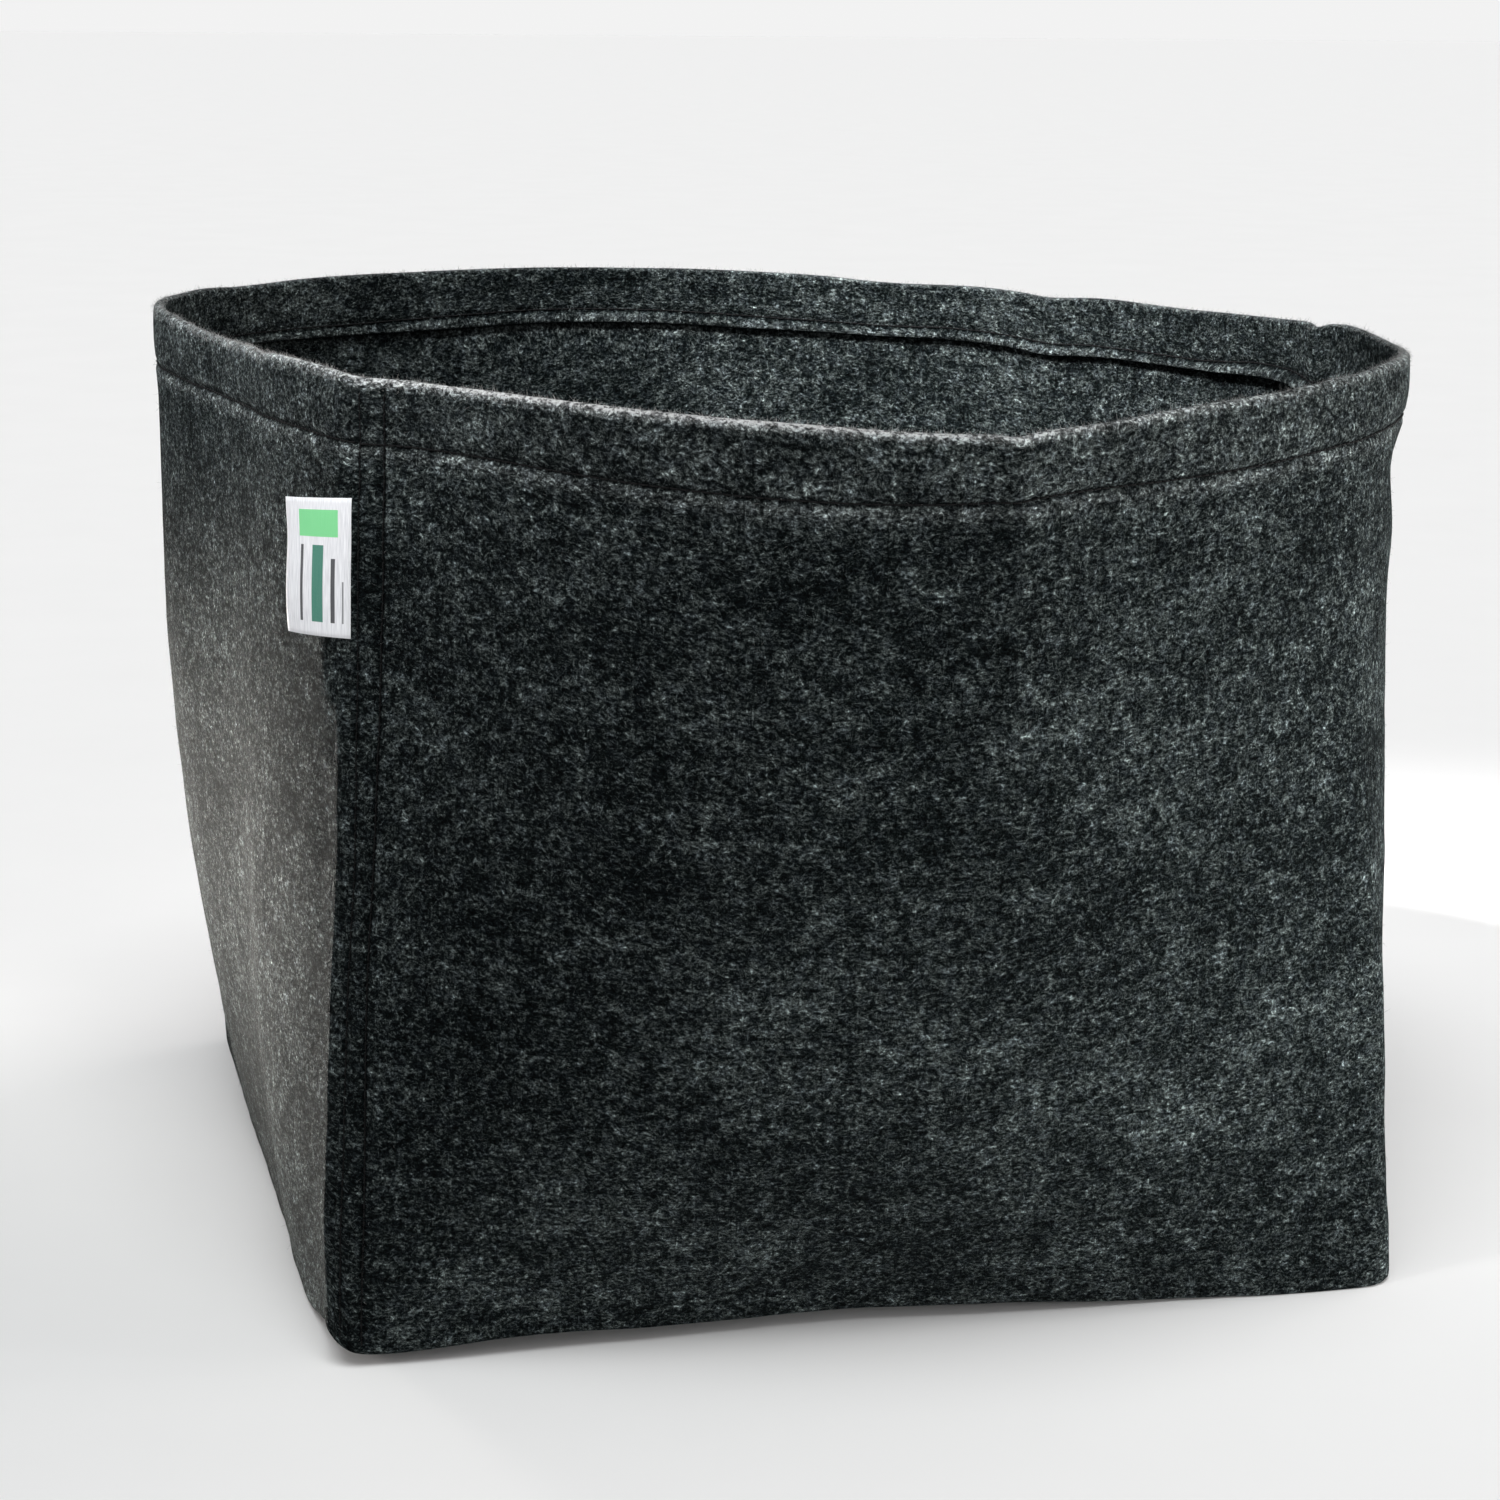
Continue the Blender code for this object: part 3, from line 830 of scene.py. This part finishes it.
def fibres(name, places, ways, curls, lengths, radii, shades):
    """Fine hairs as one mesh, each rooted in the felt and bent by its curl."""
    shares = np.array([0.0, 0.5, 1.0])
    taper = np.array([1.0, 0.85, 0.25])
    sides = 3
    turns = 2 * math.pi * np.arange(sides) / sides
    bent = ways[:, None] * shares[:, None] + curls[:, None] * shares[:, None] ** 2
    path = places[:, None] + bent * lengths[:, None, None]
    across = np.cross(ways, GUIDE)
    across /= np.linalg.norm(across, axis=1)[:, None]
    other = np.cross(ways, across)
    rings = path[:, :, None] + (radii[:, None] * taper)[:, :, None, None] * (
        np.cos(turns)[:, None] * across[:, None, None] + np.sin(turns)[:, None] * other[:, None, None]
    )
    faces = []
    points_each = len(shares) * sides
    for root in range(0, len(places) * points_each, points_each):
        for ring in (0, sides):
            for k in range(sides):
                a, b = root + ring + k, root + ring + (k + 1) % sides
                faces.append((a, b, b + sides, a + sides))
        faces.append((root + 2, root + 1, root))
        tip = root + 2 * sides
        faces.append((tip, tip + 1, tip + 2))
    shape = added_mesh(name, rings.reshape(-1, 3), faces)
    set_float(shape.data, "shade", np.repeat(shades, points_each))
    return shape


def unit(ways):
    """The same directions, each one long."""
    return ways / np.linalg.norm(ways, axis=-1)[..., None]


HAIRS = 13500  # in each of the two sets


def make_rim_fibres(wall):
    """The fuzz along the folded rim."""
    count = HAIRS
    random = np.random.default_rng(77)
    d = random.uniform(0, GIRTH, count)
    turn = random.uniform(0.02, 0.80, count) * math.pi
    across = hem_across(d)
    low = random.uniform(0, 1, count) ** 3 * 0.004 * (turn < 0.25 * math.pi)
    height = WALL_WIDTH - across / 2 + across / 2 * np.sin(turn) - low
    depth = across / 2 * (1 - np.cos(turn)) + end_step(d, height)
    places = wall.at(d, height, depth)
    off = unit(wall.at(d, height, depth - 0.001) - places)
    ways = off * np.cos(turn)[:, None] + np.array([0, 0, 1.0]) * np.sin(turn)[:, None]
    ways = unit(ways + random.normal(0, 0.9, (count, 3)))
    curls = random.normal(0, 0.55, (count, 3))
    lengths = random.uniform(0.0006, 0.0018, count)
    radii = random.uniform(0.00004, 0.00008, count)
    # the rim's hairs share its wear and painted highlight
    shades = random.uniform(0.5, 1.2, count) * rim_wear_and_highlight(d)
    return fibres("rim_fibres", places - ways * 0.0003, ways, curls, lengths, radii, shades)


def make_face_fibres(wall):
    """Stray hairs all over the outside."""
    count = HAIRS
    random = np.random.default_rng(78)
    d = random.uniform(0, GIRTH, count)
    height = random.uniform(0.007, WALL_WIDTH - 0.004, count)
    places = wall.at(d, height, end_step(d, height))
    off = unit(wall.at(d, height, -0.001) - wall.at(d, height, 0.0))
    ways = unit(off * 0.45 + random.normal(0, 0.7, (count, 3)))
    curls = random.normal(0, 0.6, (count, 3)) - off * 0.3
    lengths = random.uniform(0.0007, 0.0020, count)
    radii = random.uniform(0.00003, 0.00007, count)
    shades = random.uniform(0, 0.4, count)
    return fibres("face_fibres", places - off * 0.0002, ways, curls, lengths, radii, shades)


# ---------------- materials


class Nodes:
    """Short calls for a material's nodes."""

    def __init__(self, name):
        self.material = bpy.data.materials.new(name)
        self.material.use_nodes = True
        self.tree = self.material.node_tree

    def put(self, node, inputs):
        """Fills a node's inputs, each with a value or another node's output."""
        for key, value in inputs.items():
            if isinstance(value, bpy.types.NodeSocket):
                self.tree.links.new(value, node.inputs[key])
            else:
                node.inputs[key].default_value = value

    def new(self, kind, inputs, **settings):
        node = self.tree.nodes.new("ShaderNode" + kind)
        for key, value in settings.items():
            setattr(node, key, value)
        self.put(node, inputs)
        return node

    def finished(self, inputs):
        """The material, once its shader's inputs are filled."""
        self.put(self.tree.nodes["Principled BSDF"], inputs)
        return self.material

    def math(self, operation, a, b=0.0):
        return self.new("Math", {0: a, 1: b}, operation=operation).outputs[0]

    def add(self, a, b):
        return self.math("ADD", a, b)

    def take(self, a, b):
        return self.math("SUBTRACT", a, b)

    def times(self, a, b):
        return self.math("MULTIPLY", a, b)

    def cloth_place(self):
        return self.new("UVMap", {}, uv_map="cloth").outputs[0]

    def attribute(self, name):
        return self.new("Attribute", {}, attribute_name=name).outputs["Fac"]

    def stretched(self, place, angle, along, across):
        """The place turned by an angle, with this many repeats to the metre each way."""
        turned = self.new("Mapping", {"Vector": place, "Rotation": (0, 0, angle)})
        shift = (angle * 31.7, angle * 17.3, 0)
        inputs = {"Vector": turned.outputs[0], "Location": shift, "Scale": (along, across, 1)}
        return self.new("Mapping", inputs).outputs[0]

    def noise(self, place, scale, detail=2.0, rough=0.5, bend=0.0):
        inputs = {"Vector": place, "Scale": scale, "Detail": detail, "Roughness": rough, "Distortion": bend}
        return self.new("TexNoise", inputs, noise_dimensions="2D").outputs[0]

    def waves(self, place, way, scale, bend=0.0):
        inputs = {"Vector": place, "Scale": scale, "Distortion": bend}
        return self.new("TexWave", inputs, wave_type="BANDS", bands_direction=way).outputs["Fac"]

    def ramp(self, value, low, high, to_low=0.0, to_high=1.0):
        inputs = {"Value": value, "From Min": low, "From Max": high, "To Min": to_low, "To Max": to_high}
        return self.new("MapRange", inputs, interpolation_type="SMOOTHSTEP").outputs[0]

    def mix(self, share, a, b):
        return self.new("Mix", {"Factor": share, "A": a, "B": b}, data_type="RGBA").outputs["Result"]

    def bump(self, height, distance, strength):
        inputs = {"Height": height, "Distance": distance, "Strength": strength}
        return self.new("Bump", inputs).outputs[0]


FELT_DARK = (0.0068, 0.0112, 0.0116, 1)
FELT_LIGHT = (0.0203, 0.0240, 0.0236, 1)
FELT_BLUE = (0.0083, 0.0117, 0.0191, 1)
# the lightened rim's colour: wear with painted highlight
FELT_RUBBED_AND_LIT = (0.0222, 0.0216, 0.0218, 1)
# The felt's unevenness, from wide drifts down to single tufts: (repeats to the metre, strength)
BLEND = ((9, 1.2), (34, 1.35), (110, 2.1), (300, 3.4), (700, 3.8))
STRAND_LAYERS = 5
STRAND_ALONG = 260  # repeats to the metre
STRAND_ACROSS = 1250
# How much each of these changes the log of the felt's brightness, and its limit
LIGHT_STRANDS = 1.35
DARK_STRANDS = 1.0
# lightening of the rim by wear and painted highlight
RUBBED_AND_HIGHLIGHT = 2.85
# darkening along the stitch rows: compressed felt and painted groove shade
PRESSED_AND_SHADED = 1.0
BRIGHTEST = 3.5


def felt_material(name):
    """Charcoal heather felt: dark and light strands lying every way, in drifts."""
    n = Nodes(name)
    place = n.cloth_place()
    wide = n.stretched(place, 0.0, 0.75, 1.15)
    tone = 0.0  # the log of the felt's brightness, 0 in the middle
    for scale, strength in BLEND:
        part = n.noise(wide, scale, 1.0, 0.6)
        tone = n.add(tone, n.times(n.take(part, 0.5), strength))
    light, dark = 0.0, 0.0
    for k in range(STRAND_LAYERS):
        lying = n.stretched(place, 0.35 + k * math.pi / STRAND_LAYERS, STRAND_ALONG, STRAND_ACROSS)
        strand = n.noise(lying, 1.0, 1.0, 0.5, 0.9)
        light = n.math("MAXIMUM", light, n.ramp(strand, 0.58, 0.80))
        dark = n.math("MAXIMUM", dark, n.ramp(strand, 0.42, 0.22))
    tone = n.add(tone, n.times(light, LIGHT_STRANDS))
    tone = n.take(tone, n.times(dark, DARK_STRANDS))
    # wear, with painted highlight on the rim fold, the pucker and the raw edge
    wear_and_highlight = n.attribute("wear_and_highlight")
    rubbed_and_lit = n.times(wear_and_highlight, n.ramp(n.noise(place, 420, 1.0, 0.6), 0.25, 0.70, 0.78, 1.35))
    tone = n.add(tone, n.times(rubbed_and_lit, RUBBED_AND_HIGHLIGHT))
    # darkening along the stitch rows: compressed felt and painted shade in their grooves
    line = n.times(n.attribute("pressed_and_shaded"), n.ramp(n.noise(place, 260, 1.0, 0.5), 0.30, 0.62, 0.45, 1.0))
    tone = n.take(tone, n.times(line, PRESSED_AND_SHADED))
    brightness = n.math("EXPONENT", n.math("MINIMUM", tone, BRIGHTEST))
    tint = n.mix(n.ramp(tone, -0.9, 0.9), FELT_DARK, FELT_LIGHT)
    patch = n.noise(place, 160, 1.0, 0.5)
    tint = n.mix(n.ramp(patch, 0.40, 0.68, 0.0, 0.16), tint, FELT_BLUE)
    tint = n.mix(n.times(wear_and_highlight, 0.85), tint, FELT_RUBBED_AND_LIT)
    colour = n.new("VectorMath", {0: tint, "Scale": brightness}, operation="SCALE").outputs[0]
    return n.finished({
        "Base Color": colour,
        "Roughness": n.ramp(tone, -1.5, 1.5, 0.98, 0.82),
        "Specular IOR Level": 0.02,
        "Sheen Weight": 0.01,
        "Sheen Roughness": 0.45,
        "Sheen Tint": (0.85, 0.9, 0.95, 1),
        "Normal": n.bump(n.take(n.add(tone, light), dark), 0.00028, 0.9),
    })


FIBRE_DARK = (0.025, 0.028, 0.029, 1)
FIBRE_LIGHT = (0.42, 0.41, 0.40, 1)
THREAD_DARK = (0.003, 0.003, 0.0032, 1)
THREAD_LIGHT = (0.009, 0.009, 0.0095, 1)
TAPE_DARK = (0.64, 0.64, 0.67, 1)
TAPE_LIGHT = (0.84, 0.84, 0.865, 1)


def fibre_material():
    """Loose hairs, from dark to pale by each one's shade."""
    n = Nodes("loose_fibre")
    shade = n.attribute("shade")
    return n.finished({
        "Base Color": n.mix(shade, FIBRE_DARK, FIBRE_LIGHT),
        "Roughness": n.ramp(shade, 0, 1, 0.75, 0.5),
        "Sheen Weight": 0.2,
    })


def thread_material():
    """Black twisted polyester: a fine diagonal ply along each stitch."""
    n = Nodes("sewing_thread")
    place = n.new("NewGeometry", {}).outputs["Position"]
    twist = n.waves(place, "DIAGONAL", 900, 1.5)
    return n.finished({
        "Base Color": n.mix(twist, THREAD_DARK, THREAD_LIGHT),
        "Roughness": n.ramp(twist, 0, 1, 0.85, 0.65),
        "Specular IOR Level": 0.1,
        "Normal": n.bump(twist, 0.0001, 0.6),
    })


GREEN = (0.16, 0.62, 0.24, 1)
TEAL = (0.01, 0.17, 0.11, 1)
GREY = (0.20, 0.20, 0.21, 1)
INK = (0.03, 0.03, 0.035, 1)
# Marks woven into the label: (nearest the seam, farthest from it, lowest, highest, colour)
LABEL_MARKS = (
    (0.0080, 0.0275, 0.0420, 0.0535, GREEN),
    (0.0150, 0.0205, 0.0060, 0.0385, TEAL),
    (0.0092, 0.0112, 0.0060, 0.0330, INK),
    (0.0050, 0.0058, 0.0060, 0.0235, GREY),
    (0.0252, 0.0266, 0.0060, 0.0385, INK),
)


def label_material():
    """White satin tape with plain woven bars."""
    n = Nodes("satin_label")
    place = n.cloth_place()
    parts = n.new("SeparateXYZ", {0: place})
    out, up = parts.outputs[0], parts.outputs[1]
    ribs = n.waves(place, "X", 620, 0.6)
    weft = n.waves(place, "Y", 900)
    tone = n.noise(n.stretched(place, 0.0, 3500, 90), 1.0, 2.0, 0.6)
    colour = n.mix(n.ramp(tone, 0.3, 0.7), TAPE_DARK, TAPE_LIGHT)
    for near, far, low, high, ink in LABEL_MARKS:
        inside = n.times(n.math("GREATER_THAN", out, near), n.math("LESS_THAN", out, far))
        inside = n.times(inside, n.math("GREATER_THAN", up, low))
        inside = n.times(inside, n.math("LESS_THAN", up, high))
        woven = n.times(inside, n.ramp(weft, 0.0, 0.5, 0.80, 0.97))
        colour = n.mix(woven, colour, ink)
    return n.finished({
        "Base Color": colour,
        "Roughness": n.ramp(tone, 0.3, 0.7, 0.58, 0.46),
        "Specular IOR Level": 0.25,
        "Sheen Weight": 0.05,
        "Anisotropic": 0.4,
        "Normal": n.bump(n.add(ribs, n.times(weft, 0.6)), 0.00006, 0.5),
    })


FLOOR_DARK = (0.91, 0.885, 0.885, 1)
FLOOR_LIGHT = (0.94, 0.915, 0.915, 1)


def floor_material():
    """Plain pale floor with a faint drift of tone."""
    n = Nodes("pale_floor")
    grain = n.noise(n.new("TexCoord", {}).outputs["Object"], 6.0, 3.0, 0.6)
    return n.finished({
        "Base Color": n.mix(grain, FLOOR_DARK, FLOOR_LIGHT),
        "Roughness": 0.9,
        "Specular IOR Level": 0.1,
    })


# ---------------- camera, light and floor

CAMERA_PLACE = Vector((-0.402, -1.572, 0.571))
CAMERA_HEADING = math.radians(14.28)  # to the right of straight on
CAMERA_DOWN = math.radians(12.6)
CAMERA_ROLL = math.radians(0.54)
LENS = 80  # in millimetres, as the sensor's width
SENSOR = 36

LIGHTS = (
    # name, place, what it is aimed at, size, spread in degrees, power, colour
    ("left_light", (-0.84, 1.42, 0.060), (-0.260, -0.11, 0.145), 0.12, 15, 0.92, (1.0, 0.955, 0.88)),
    ("inside_light", (-0.92, -0.56, 1.65), (0.180, 0.145, 0.22), 0.36, 17, 2.7, (1.0, 1.0, 1.0)),
    ("inside_front_light", (-0.35, -0.75, 1.90), (0.05, 0.22, 0.30), 0.50, 22, 0.3, (1.0, 1.0, 1.0)),
    ("right_front_light", (1.88, -0.98, 0.15), (0.28, -0.20, 0.19), 0.28, 24, 1.28, (0.97, 1.0, 0.98)),
)
SUNS = (
    # name, where it shines from, how wide in degrees, strength, colour
    ("overhead_light", (-0.15, -0.35, 1.0), 40, 1.75, (0.95, 1.0, 1.0)),
    ("right_edge_light", (1.0, -0.10, 0.10), 14, 1.40, (1.0, 0.97, 0.93)),
    ("right_light", (1.0, 0.25, 0.28), 45, 1.10, (1.0, 0.97, 0.94)),
    ("front_light", (-0.45, -1.0, 0.55), 40, 0.28, (1.0, 1.0, 1.0)),
)
WORLD = 0.30  # light from all round
BACKDROP = 0.89  # how bright the camera sees it, to go on from the floor
FLOOR_REACH = 60.0
FLOOR_LEVEL = -0.0004


def make_camera():
    """The camera as the photograph has it."""
    data = bpy.data.cameras.new("camera")
    data.lens = LENS
    data.sensor_width = SENSOR
    data.clip_end = 200
    camera = added("camera", data)
    right = Vector((math.cos(CAMERA_HEADING), -math.sin(CAMERA_HEADING), 0))
    ahead = Vector((
        math.sin(CAMERA_HEADING) * math.cos(CAMERA_DOWN),
        math.cos(CAMERA_HEADING) * math.cos(CAMERA_DOWN),
        -math.sin(CAMERA_DOWN),
    ))
    up = right.cross(ahead)
    rolled_right = right * math.cos(CAMERA_ROLL) + up * math.sin(CAMERA_ROLL)
    rolled_up = up * math.cos(CAMERA_ROLL) - right * math.sin(CAMERA_ROLL)
    turn = Matrix((rolled_right, rolled_up, -ahead)).transposed()
    camera.matrix_world = Matrix.Translation(CAMERA_PLACE) @ turn.to_4x4()
    bpy.context.scene.camera = camera


def make_lights():
    """Low, narrow lamps for the sides and the inside, and wide suns for the rest."""
    for name, place, target, size, spread_angle, power, colour in LIGHTS:
        data = bpy.data.lights.new(name, "AREA")
        data.shape = "SQUARE"
        data.size = size
        data.spread = math.radians(spread_angle)
        data.energy = power
        data.color = colour
        lamp = added(name, data)
        lamp.location = place
        lamp.rotation_euler = (Vector(target) - Vector(place)).to_track_quat("-Z", "Y").to_euler()
        lamp.visible_camera = False
    for name, place, wide, strength, colour in SUNS:
        data = bpy.data.lights.new(name, "SUN")
        data.energy = strength
        data.angle = math.radians(wide)
        data.color = colour
        added(name, data).rotation_euler = Vector(place).to_track_quat("Z", "Y").to_euler()


def make_world():
    """Even light all round, seen by the camera as a pale backdrop."""
    scene = bpy.context.scene
    world = bpy.data.worlds.new("studio")
    world.use_nodes = True
    tree = world.node_tree
    background = tree.nodes["Background"]
    background.inputs["Color"].default_value = (0.97, 0.985, 1.0, 1)
    background.inputs["Strength"].default_value = WORLD
    seen = tree.nodes.new("ShaderNodeBackground")
    seen.inputs["Color"].default_value = (BACKDROP, BACKDROP, BACKDROP, 1)
    path = tree.nodes.new("ShaderNodeLightPath")
    mix = tree.nodes.new("ShaderNodeMixShader")
    tree.links.new(path.outputs["Is Camera Ray"], mix.inputs[0])
    tree.links.new(background.outputs[0], mix.inputs[1])
    tree.links.new(seen.outputs[0], mix.inputs[2])
    tree.links.new(mix.outputs[0], tree.nodes["World Output"].inputs["Surface"])
    scene.world = world
    scene.view_settings.view_transform = "Standard"
    scene.view_settings.look = "None"


def make_floor():
    """The pale floor, a hair below the bag's foot."""
    signs = ((-1, -1), (1, -1), (1, 1), (-1, 1))
    corners = np.array([(x * FLOOR_REACH, y * FLOOR_REACH, FLOOR_LEVEL) for x, y in signs])
    floor = added_mesh("floor", corners, [(0, 1, 2, 3)])
    floor.data.materials.append(floor_material())


# ---------------- putting it together


def dress(shape, material, slot, *nodes):
    """Gives a piece its material and its body, and hides the imported nodes that it stands for. Its slot is
    not used.
    """
    shape.data.materials.append(material)
    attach(shape, "root")
    if nodes:
        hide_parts(*nodes)


def main():
    wall = Wall()
    make_camera()
    make_lights()
    make_world()
    make_floor()
    felt_wall = make_wall(wall)
    dress(felt_wall, felt_material("wall_felt"), "wall_panel", "wall_panel")
    felt_base = make_base(wall)
    dress(felt_base, felt_material("base_felt"), "base_panel", "base_panel")
    label = make_label(wall)
    dress(label, label_material(), "size_label", "size_label")
    thread = thread_material()
    for node, shape in rows_of_thread(wall):
        dress(shape, thread, "thread", node)
    hair = fibre_material()
    dress(make_rim_fibres(wall), hair, "wall_panel")
    dress(make_face_fibres(wall), hair, "wall_panel")


main()
